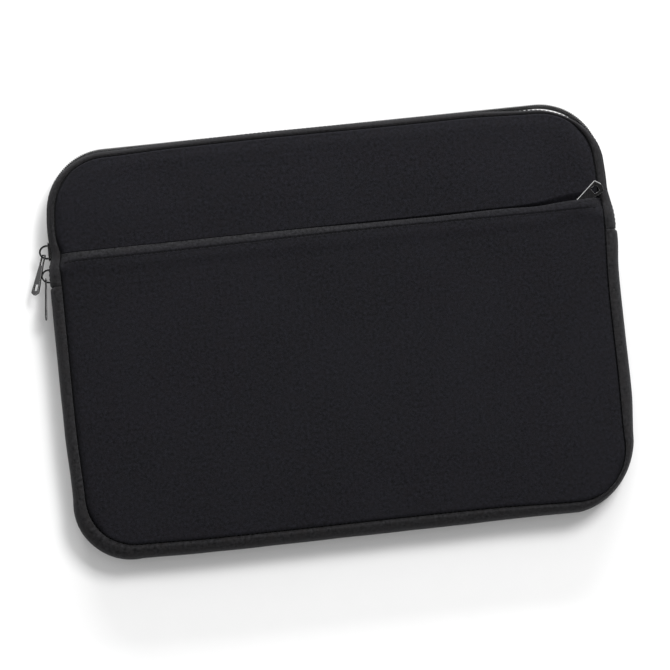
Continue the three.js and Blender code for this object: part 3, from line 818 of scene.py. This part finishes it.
class Nodes:
    """A short way to build a node tree: every call makes a node and returns its main output."""

    def __init__(self, name):
        self.material = bpy.data.materials.new(name)
        self.material.use_nodes = True
        self.tree = self.material.node_tree
        self.shader = self.tree.nodes["Principled BSDF"]

    def put(self, socket, value):
        if isinstance(value, bpy.types.NodeSocket):
            self.tree.links.new(value, socket)
        else:
            socket.default_value = value

    def math(self, operation, a, b=0.0):
        node = self.tree.nodes.new("ShaderNodeMath")
        node.operation = operation
        self.put(node.inputs[0], a)
        self.put(node.inputs[1], b)
        return node.outputs[0]

    def sine(self, value, turns):
        """0 to 1, repeating the given number of times per unit of value."""
        wave = self.math("SINE", self.math("MULTIPLY", value, 2 * math.pi * turns))
        return self.math("MULTIPLY", self.math("ADD", wave, 1.0), 0.5)

    def noise(self, vector, size, detail=3.0, roughness=0.55):
        node = self.tree.nodes.new("ShaderNodeTexNoise")
        node.inputs["Scale"].default_value = 1 / size
        node.inputs["Detail"].default_value = detail
        node.inputs["Roughness"].default_value = roughness
        self.tree.links.new(vector, node.inputs["Vector"])
        return node.outputs["Fac"]

    def spread(self, value, low, high, to_low=0.0, to_high=1.0):
        node = self.tree.nodes.new("ShaderNodeMapRange")
        for socket, number in zip(list(node.inputs)[1:5], (low, high, to_low, to_high)):
            socket.default_value = number
        self.tree.links.new(value, node.inputs[0])
        return node.outputs[0]

    def mix(self, factor, a, b):
        node = self.tree.nodes.new("ShaderNodeMix")
        node.data_type = "RGBA"
        self.put(node.inputs["Factor"], factor)
        self.put(node.inputs["A"], a)
        self.put(node.inputs["B"], b)
        return node.outputs["Result"]

    def place(self):
        return self.tree.nodes.new("ShaderNodeTexCoord").outputs["Object"]

    def split(self, vector):
        node = self.tree.nodes.new("ShaderNodeSeparateXYZ")
        self.tree.links.new(vector, node.inputs[0])
        return node.outputs

    def cloth(self):
        """The place on the cloth and its two distances, in metres."""
        uv = self.tree.nodes.new("ShaderNodeUVMap")
        uv.uv_map = "cloth"
        x, y, _ = self.split(uv.outputs[0])
        return uv.outputs[0], x, y

    def bump(self, height, distance, strength=1.0, after=None):
        node = self.tree.nodes.new("ShaderNodeBump")
        node.inputs["Distance"].default_value = distance
        node.inputs["Strength"].default_value = strength
        self.tree.links.new(height, node.inputs["Height"])
        if after is not None:
            self.tree.links.new(after, node.inputs["Normal"])
        return node.outputs[0]

    def finish(self, **inputs):
        names = {"color": "Base Color", "roughness": "Roughness", "metallic": "Metallic",
                 "normal": "Normal", "sheen": "Sheen Weight", "sheen_roughness": "Sheen Roughness",
                 "sheen_tint": "Sheen Tint", "specular": "Specular IOR Level"}
        for key, value in inputs.items():
            self.put(self.shader.inputs[names[key]], value)
        return self.material


def grey(level, warm=0.0, cool=0.0):
    return (level * (1 + warm), level, level * (1 + cool), 1)


def tint(level, red, green, blue):
    return (level * red, level * green, level * blue, 1)


def jersey(name, level, blue, sheen, painted_highlight=None):
    """Knitted jersey on neoprene: V stitches, heathered grain, a soft pile and, where asked, a painted
    highlight that makes the hem paler.
    """
    n = Nodes(name)
    uv, across, along = n.cloth()
    wale = n.math("FRACT", n.math("MULTIPLY", across, 1 / WALE))
    arm = n.math("ABSOLUTE", n.math("SUBTRACT", wale, 0.5))
    course = n.math("ADD", n.math("MULTIPLY", along, 1 / COURSE), n.math("MULTIPLY", arm, 1.1))
    knit = n.math("MULTIPLY", n.sine(course, 1), n.spread(n.sine(arm, 1), 0, 1, 0.55, 1))
    grain = n.noise(uv, 2.1 * MM, 3, 0.75)
    cloud = n.noise(uv, 7 * MM, 3, 0.6)
    wide = n.noise(uv, 60 * MM, 2, 0.5)
    lint = n.spread(n.noise(uv, 1.3 * MM, 1), 0.74, 0.80)
    dark = tint(level, 0.25, 0.25, 0.25 * blue)
    light = tint(level, 2.00, 1.97, 1.94 * blue)
    warm = tint(level, 1.30, 1.15, 1.05 * blue)
    shade = n.mix(n.spread(grain, 0.34, 0.66), dark, light)
    shade = n.mix(n.spread(cloud, 0.42, 0.66, 0.0, 0.5), shade, warm)
    shade = n.mix(n.spread(wide, 0.40, 0.64, 0.0, 0.16), shade, light)
    shade = n.mix(n.math("MULTIPLY", lint, 0.35), shade, grey(level * 6.0))
    if painted_highlight:
        # painted highlight: the hem's band is painted paler towards its folded edge, fading towards the
        # right, in place of light catching the fold
        hem_highlight_mask = n.math("POWER", n.spread(along, painted_highlight[0], painted_highlight[1]), 1.3)
        hem_highlight_colour = n.mix(n.spread(grain, 0.34, 0.66), grey(level * 1.2), grey(level * 8.0))
        hem_highlight_mask = n.math("MULTIPLY", hem_highlight_mask, n.spread(across, 0.02, 0.14, 0.42, 0.16))
        shade = n.mix(hem_highlight_mask, shade, hem_highlight_colour)
    normal = n.bump(grain, 0.30 * MM, 0.5)
    normal = n.bump(knit, 0.10 * MM, 0.5, normal)
    rough = n.spread(grain, 0.3, 0.7, 0.74, 0.88)
    return n.finish(color=shade, roughness=rough, normal=normal, sheen=sheen, sheen_roughness=0.42,
                    sheen_tint=(0.92, 0.94, 1, 1), specular=0.08)


def plush(name, level):
    """Short brushed pile."""
    n = Nodes(name)
    uv, _, _ = n.cloth()
    pile = n.noise(uv, 0.7 * MM, 5, 0.75)
    brushed = n.noise(uv, 11 * MM, 3, 0.6)
    shade = n.mix(n.spread(pile, 0.3, 0.7), grey(level * 0.55), grey(level * 1.4))
    shade = n.mix(n.spread(brushed, 0.35, 0.65, 0, 0.4), shade, grey(level * 1.7))
    normal = n.bump(pile, 0.5 * MM, 0.8)
    return n.finish(color=shade, roughness=0.95, normal=normal, sheen=0.6,
                    sheen_roughness=0.5, specular=0.2)


def webbing(name, level):
    """Woven polyester tape: a herringbone of fine yarns."""
    n = Nodes(name)
    uv, along, across = n.cloth()
    stripe = n.math("FRACT", n.math("MULTIPLY", across, 1 / HERRINGBONE))
    fold = n.math("ABSOLUTE", n.math("SUBTRACT", stripe, 0.5))
    slant = n.math("ADD", n.math("MULTIPLY", along, 1 / YARN_ALONG), n.math("MULTIPLY", fold, 4.0))
    twill = n.math("MULTIPLY", n.sine(slant, 1), n.spread(n.sine(across, 1 / YARN_ACROSS), 0, 1, 0.5, 1))
    fluff = n.noise(uv, 0.5 * MM, 3)
    shade = n.mix(twill, grey(level * 0.5), grey(level * 1.4, 0, 0.08))
    shade = n.mix(n.spread(fluff, 0.4, 0.7, 0, 0.35), shade, grey(level * 1.9))
    return n.finish(color=shade, roughness=0.78, normal=n.bump(twill, 0.14 * MM, 0.8), sheen=0.25,
                    sheen_roughness=0.4, specular=0.4)


def thread(name, level):
    """Twisted polyester thread."""
    n = Nodes(name)
    x, y, z = n.split(n.place())
    twist = n.math("ADD", x, n.math("MULTIPLY", y, 0.8))
    ply = n.sine(n.math("ADD", twist, z), 1 / (0.45 * MM))
    shade = n.mix(ply, grey(level * 0.6), grey(level * 1.5, 0, 0.08))
    return n.finish(color=shade, roughness=0.75, normal=n.bump(ply, 0.08 * MM, 0.7), specular=0.12)


def nylon(name, level):
    """Satin monofilament with tool marks from the crimping."""
    n = Nodes(name)
    marks = n.noise(n.place(), 0.5 * MM, 2)
    shade = n.mix(n.spread(marks, 0.35, 0.7), grey(level * 0.7), grey(level * 1.7))
    rough = n.spread(marks, 0.3, 0.7, 0.26, 0.42)
    return n.finish(color=shade, roughness=rough, normal=n.bump(marks, 0.03 * MM, 0.5), specular=0.55)


def black_nickel(name, level, painted_highlight=()):
    """Black nickel plate with faint scratches and a painted highlight on its rounded edges; the last
    argument holds further edge lines that get the same painted highlight.
    """
    n = Nodes(name)
    place = n.place()
    haze = n.noise(place, 3.5 * MM, 3)
    scratch_place = n.tree.nodes.new("ShaderNodeMapping")
    scratch_place.inputs["Scale"].default_value = (1, 0.12, 1)
    scratch_place.inputs["Rotation"].default_value = (0, 0, 0.6)
    n.tree.links.new(place, scratch_place.inputs["Vector"])
    scratch = n.spread(n.noise(scratch_place.outputs[0], 0.25 * MM, 2, 0.4), 0.60, 0.68)
    rounded = n.tree.nodes.new("ShaderNodeAttribute")
    rounded.attribute_name = "rounded"
    edge = rounded.outputs["Fac"]
    x, y, _ = n.split(place)
    # painted highlight along each given edge line
    for (across_x, across_y), offset in painted_highlight:
        past = n.math("ADD", n.math("MULTIPLY", x, across_x), -offset)
        past = n.math("ADD", past, n.math("MULTIPLY", y, across_y))
        edge = n.math("MAXIMUM", edge, n.spread(past, -0.65 * MM, -0.35 * MM, 0.0, 0.75))
    shade = n.mix(haze, grey(level * 0.8, 0.0, 0.05), grey(level * 1.25, 0.02, 0.0))
    # painted highlight: the rounded faces and the given edge lines are painted far paler and rougher
    shade = n.mix(n.math("MULTIPLY", edge, 0.9), shade, grey(level * 22.0))
    shade = n.mix(n.math("MULTIPLY", scratch, 0.25), shade, grey(level * 2.4))
    rough = n.math("ADD", n.spread(haze, 0.3, 0.7, 0.13, 0.20), n.math("MULTIPLY", scratch, 0.12))
    rough = n.math("ADD", rough, n.math("MULTIPLY", edge, 0.35))
    normal = n.bump(scratch, 0.01 * MM, 0.3)
    return n.finish(color=shade, roughness=rough, metallic=1.0, normal=normal)


TAB_ROOT = next(j for j in frame["joints"] if j["name"] == "pocket_tab_flip")["pos_m"]
TAB_ANGLE = math.radians(34)
# the pocket tab's long upper edge and its sloping end, which get a painted highlight, as points along and
# across the tab
TAB_EDGES = [((5.5, 2.5), (23.4, 4.9)), ((24.1, 4.3), (25.6, 0.8))]


def tab_edge_lines():
    """Each edge of the pocket tab that gets a painted highlight, as its outward direction and its distance
    along that direction.
    """
    lines = []
    for start, end in TAB_EDGES:
        run_x, run_y = end[0] - start[0], end[1] - start[1]
        turn = TAB_ANGLE + math.atan2(run_x, -run_y)
        outward = (math.cos(turn), math.sin(turn))
        x = TAB_ROOT[0] + MM * (start[0] * math.cos(TAB_ANGLE) - start[1] * math.sin(TAB_ANGLE))
        y = TAB_ROOT[1] + MM * (start[0] * math.sin(TAB_ANGLE) + start[1] * math.cos(TAB_ANGLE))
        lines.append((outward, outward[0] * x + outward[1] * y))
    return lines


def wear(obj, look, slot, *bodies):
    """Gives a piece its material and parents it to its body; given two bodies, it only bakes its placement
    into the mesh. The slot is not used.
    """
    obj.data.materials.clear()
    obj.data.materials.append(look)
    if len(bodies) == 1:
        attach(obj, bodies[0])
    else:
        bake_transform(obj)
    return obj


# ---- the pieces ----

ACROSS_FOLD = ("shell", "mouth_flap")


def build_cloth(body_look, pocket_look, gusset_look):
    back = wear(back_panel(), body_look, "neoprene_jersey", "shell")
    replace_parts(back, "back_panel")
    front = wear(front_panel(), body_look, "neoprene_jersey", *ACROSS_FOLD)
    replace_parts(front, "front_panel", "front_panel_flap")
    pocket = wear(pocket_panel(), pocket_look, "neoprene_jersey", "shell")
    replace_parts(pocket, "pocket_panel")
    lower = wear(lower_gusset(), gusset_look, "neoprene_jersey", "shell")
    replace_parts(lower, "lower_gusset")
    strip = wear(front_strip(), gusset_look, "neoprene_jersey", *ACROSS_FOLD)
    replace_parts(strip, "front_zip_gusset_flap", "front_zip_gusset_left", "front_zip_gusset_right")
    rear = wear(rear_strip(), gusset_look, "neoprene_jersey", "shell")
    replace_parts(rear, "rear_zip_gusset")


LINING_INSET = 1.2 * MM
LINING_THICKNESS = 0.6 * MM
BINDING_U = (-0.9 * MM, 0.3 * MM)


def height_of(node):
    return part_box(node)[1].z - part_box(node)[0].z


def under_front(y, node, thickness):
    """The upper face of a layer under the front, which climbs with the front panel past the hem."""
    climb = smooth(y, HEM_EDGE + 4 * MM, HEM_EDGE + 13 * MM)
    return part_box(node)[0].z + thickness + (height_of(node) - thickness) * climb


def lining_sheet(name, top_at):
    x, y = panel_grid(all_rows(-SEAM_Y, SEAM_Y, 6 * MM), LINING_INSET)
    top = top_at(x, y)
    return panel(name, x, y, top, top - LINING_THICKNESS)


def build_linings(look):
    low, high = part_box("back_lining")

    def back_top(x, y):
        return high.z + 0.15 * MM * ripple(x, y, 35 * MM, 9.0)

    def front_top(x, y):
        return under_front(y, "front_lining", high.z - low.z) - 0.1 * MM

    back = wear(lining_sheet("back_plush_lining", back_top), look, "plush_lining", "shell")
    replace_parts(back, "back_lining")
    front = wear(lining_sheet("front_plush_lining", front_top), look, "plush_lining", *ACROSS_FOLD)
    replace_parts(front, "front_lining", "front_lining_flap")


def build_bindings(look):
    low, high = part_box("back_seam_binding")
    ring = np.arange(0, PERIMETER, 4 * MM)
    back = band("back_binding", ring, rectangle_section(*BINDING_U, low.z, high.z), closed=True)
    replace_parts(wear(back, look, "zip_tape", "shell"), "back_seam_binding")
    tall = high.z - low.z

    def top_at(y):
        return under_front(y, "front_seam_binding", tall)

    section = rectangle_section(*BINDING_U, lambda y: top_at(y) - tall, top_at)
    front = band("front_binding", ring, section, closed=True)
    wear(front, look, "zip_tape", *ACROSS_FOLD)
    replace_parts(front, "front_seam_binding", "front_seam_binding_flap")


def main_tape(name, node):
    low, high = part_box(node)
    return band(name, over_top(ZIP_END), rectangle_section(*TAPE_U, low.z, high.z, 5), sew=False)


def build_main_zip(tape_look, coil_look, metal_look):
    front = wear(main_tape("front_tape", "front_zip_tape_flap"), tape_look, "zip_tape", *ACROSS_FOLD)
    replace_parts(front, "front_zip_tape_flap", "front_zip_tape_left", "front_zip_tape_right")
    rear = wear(main_tape("rear_tape", "rear_zip_tape"), tape_look, "zip_tape", "shell")
    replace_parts(rear, "rear_zip_tape")
    front = wear(main_coil("front_coil", 1), coil_look, "nylon_coil", *ACROSS_FOLD)
    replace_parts(front, "front_zip_coil_flap", "front_zip_coil_left", "front_zip_coil_right")
    rear = wear(main_coil("rear_coil", -1), coil_look, "nylon_coil", "shell")
    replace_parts(rear, "rear_zip_coil")
    for name in ("left", "right"):
        stop = metal(f"end_stop_{name}", f"zip_end_stop_{name}", 0.25 * MM)
        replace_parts(wear(stop, metal_look, "gunmetal", "shell"), f"zip_end_stop_{name}")


STOP_BEVEL = 0.2 * MM


def build_pocket_zip(tape_look, coil_look, metal_look):
    low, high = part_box("pocket_zip_lower_tape")
    sewn = high.z - 0.4 * MM
    lower = pocket_tape("pocket_lower_tape", [
        (high.y, low.z), (high.y - 3.2 * MM, low.z), (HEM_EDGE - 12 * MM, sewn - 0.8 * MM),
        (HEM_EDGE - 14.5 * MM, sewn), (low.y, sewn)])
    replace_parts(wear(lower, tape_look, "zip_tape", "shell"), "pocket_zip_lower_tape")
    low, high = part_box("pocket_zip_upper_tape")
    flat = high.z - 0.4 * MM
    upper = pocket_tape("pocket_upper_tape", [
        (low.y, flat), (low.y + 1.2 * MM, flat), (HEM_EDGE - 2.2 * MM, flat - 0.1 * MM),
        (HEM_EDGE - 1.7 * MM, flat - 0.2 * MM)])
    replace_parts(wear(upper, tape_look, "zip_tape", "shell"), "pocket_zip_upper_tape")
    for name, sign in (("lower", -1), ("upper", 1)):
        node = f"pocket_zip_{name}_coil"
        row = wear(pocket_coil(f"pocket_{name}_coil", node, sign), coil_look, "nylon_coil", "shell")
        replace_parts(row, node)
        node = f"pocket_zip_{name}_top_stop"
        stop = wear(metal(f"pocket_{name}_stop", node, STOP_BEVEL), metal_look, "gunmetal", "shell")
        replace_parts(stop, node)
    stop = metal("pocket_end_stop", "pocket_zip_bottom_stop", STOP_BEVEL)
    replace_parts(wear(stop, metal_look, "gunmetal", "shell"), "pocket_zip_bottom_stop")


PLATING = {"upper": 0.14 * MM, "lower": 0.05 * MM, "pocket": 0.0}
SLIDER_BEVEL = 0.2 * MM
TAB_BEVEL = 0.37 * MM


def build_sliders(look, pocket_tab_look):
    for name, plating in PLATING.items():
        slider = metal(f"{name}_slider_metal", f"{name}_slider_body", SLIDER_BEVEL, plating)
        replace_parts(wear(slider, look, "gunmetal", f"{name}_slider"), f"{name}_slider_body")
        tab = metal(f"{name}_tab_metal", f"{name}_pull_tab", TAB_BEVEL)
        tab_look = pocket_tab_look if name == "pocket" else look
        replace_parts(wear(tab, tab_look, "gunmetal", f"{name}_tab"), f"{name}_pull_tab")


def build_stitching(look):
    rows = [
        (hem_stitching(), ("shell",)),
        (groove_stitching("front_seam_stitching", lambda y: seam_height(y) - 1.0 * MM, 1), ACROSS_FOLD),
        (groove_stitching("back_seam_stitching", lambda y: 0 * y + 1.35 * MM, -1), ("shell",)),
        (strip_stitching("front_strip_stitching", STRIP_LOW + STRIP_ROW), ACROSS_FOLD),
        (strip_stitching("rear_strip_stitching", REAR_STRIP_HIGH - STRIP_ROW), ("shell",)),
    ]
    for row, bodies in rows:
        wear(row, look, "zip_tape", *bodies)


# the band below the hem's edge that gets a painted highlight
HEM_PAINTED_HIGHLIGHT = (HEM_EDGE - 8 * MM, HEM_EDGE - 0.5 * MM)


def build_sleeve():
    body_look = jersey("jersey_body", level=0.0053, blue=1.36, sheen=0.06)
    pocket_look = jersey("jersey_pocket", level=0.0047, blue=1.36, sheen=0.06, painted_highlight=HEM_PAINTED_HIGHLIGHT)
    # painted sheen: the gusset's jersey is about twice as pale as the panels', in place of the sheen its
    # rounded sides catch
    gusset_look = jersey("jersey_gusset", level=0.0106, blue=1.10, sheen=0.07)
    tape_look = webbing("zip_tape", 0.012)
    coil_look = nylon("nylon_coil", 0.012)
    metal_look = black_nickel("black_nickel", 0.026)
    build_cloth(body_look, pocket_look, gusset_look)
    build_linings(plush("plush_lining", 0.02))
    build_bindings(tape_look)
    build_main_zip(tape_look, coil_look, metal_look)
    build_pocket_zip(tape_look, coil_look, metal_look)
    # the pocket tab's plate is a little darker, painted shade for its face, with a painted highlight on
    # its upper edge and end
    build_sliders(metal_look, black_nickel("black_nickel_tab_painted_light", 0.022, tab_edge_lines()))
    build_stitching(thread("thread", 0.0022))


# ---- floor, light and camera ----

SENSOR = 36.0
VIEW_WIDTH = 451.4 * MM  # what the picture spans at the sleeve's front
CAMERA_DISTANCE = 2.2
TARGET = Vector((-3.8, -5.5, 22)) * MM
IMAGE_TURN = math.radians(6.0)
CAMERA_TILT = math.radians(6.5)  # towards the pocket's bottom edge
CAMERA_SIDE = math.radians(-1.3)
WORLD_STRENGTH = 0.64


def build_camera():
    data = bpy.data.cameras.new("camera")
    camera = bpy.data.objects.new("camera", data)
    bpy.context.collection.objects.link(camera)
    back = Vector((math.sin(CAMERA_SIDE), -math.sin(CAMERA_TILT), math.cos(CAMERA_TILT))).normalized()
    right = Vector((math.cos(IMAGE_TURN), -math.sin(IMAGE_TURN), 0))
    right = (right - right.dot(back) * back).normalized()
    up = back.cross(right)
    camera.matrix_world = Matrix.Translation(TARGET + back * CAMERA_DISTANCE) @ Matrix(
        (right, up, back)).transposed().to_4x4()
    data.sensor_width = SENSOR
    data.lens = SENSOR * CAMERA_DISTANCE / VIEW_WIDTH
    data.clip_start = 0.05
    data.clip_end = 20
    bpy.context.scene.camera = camera


FLOOR_HALF = 3.0
FLOOR_Z = -0.1 * MM


def build_floor():
    signs = [(-1, -1), (1, -1), (1, 1), (-1, 1)]
    points = [(FLOOR_HALF * a, FLOOR_HALF * b, FLOOR_Z) for a, b in signs]
    floor = make("floor", points, [[0, 1, 2, 3]], sew=False)
    n = Nodes("paper_floor")
    grain = n.noise(n.place(), 0.02, 3)
    n.finish(color=n.mix(grain, grey(0.78), grey(0.80)), roughness=0.9, specular=0.1)
    floor.data.materials.append(n.material)


def softbox(name, place, aim, size, power):
    data = bpy.data.lights.new(name, "AREA")
    data.shape = "RECTANGLE"
    data.size, data.size_y = size
    data.energy = power
    light = bpy.data.objects.new(name, data)
    bpy.context.collection.objects.link(light)
    light.location = place
    light.rotation_mode = "QUATERNION"
    light.rotation_quaternion = (Vector(place) - Vector(aim)).to_track_quat("Z", "Y")


def build_light():
    softbox("key", place=(1.7, 1.9, 3.0), aim=(0, 0, 0), size=(1.5, 1.2), power=122)
    softbox("rim", place=(0.3, 2.6, 0.8), aim=(0, 0.05, 0), size=(2.4, 0.5), power=105)
    world = bpy.data.worlds.new("studio")
    world.use_nodes = True
    background = world.node_tree.nodes["Background"]
    background.inputs["Color"].default_value = (1, 1, 1, 1)
    background.inputs["Strength"].default_value = WORLD_STRENGTH
    bpy.context.scene.world = world
    view = bpy.context.scene.view_settings
    view.view_transform = "Standard"
    view.look = "None"
    view.exposure = 0.0


build_camera()
build_sleeve()
build_floor()
build_light()
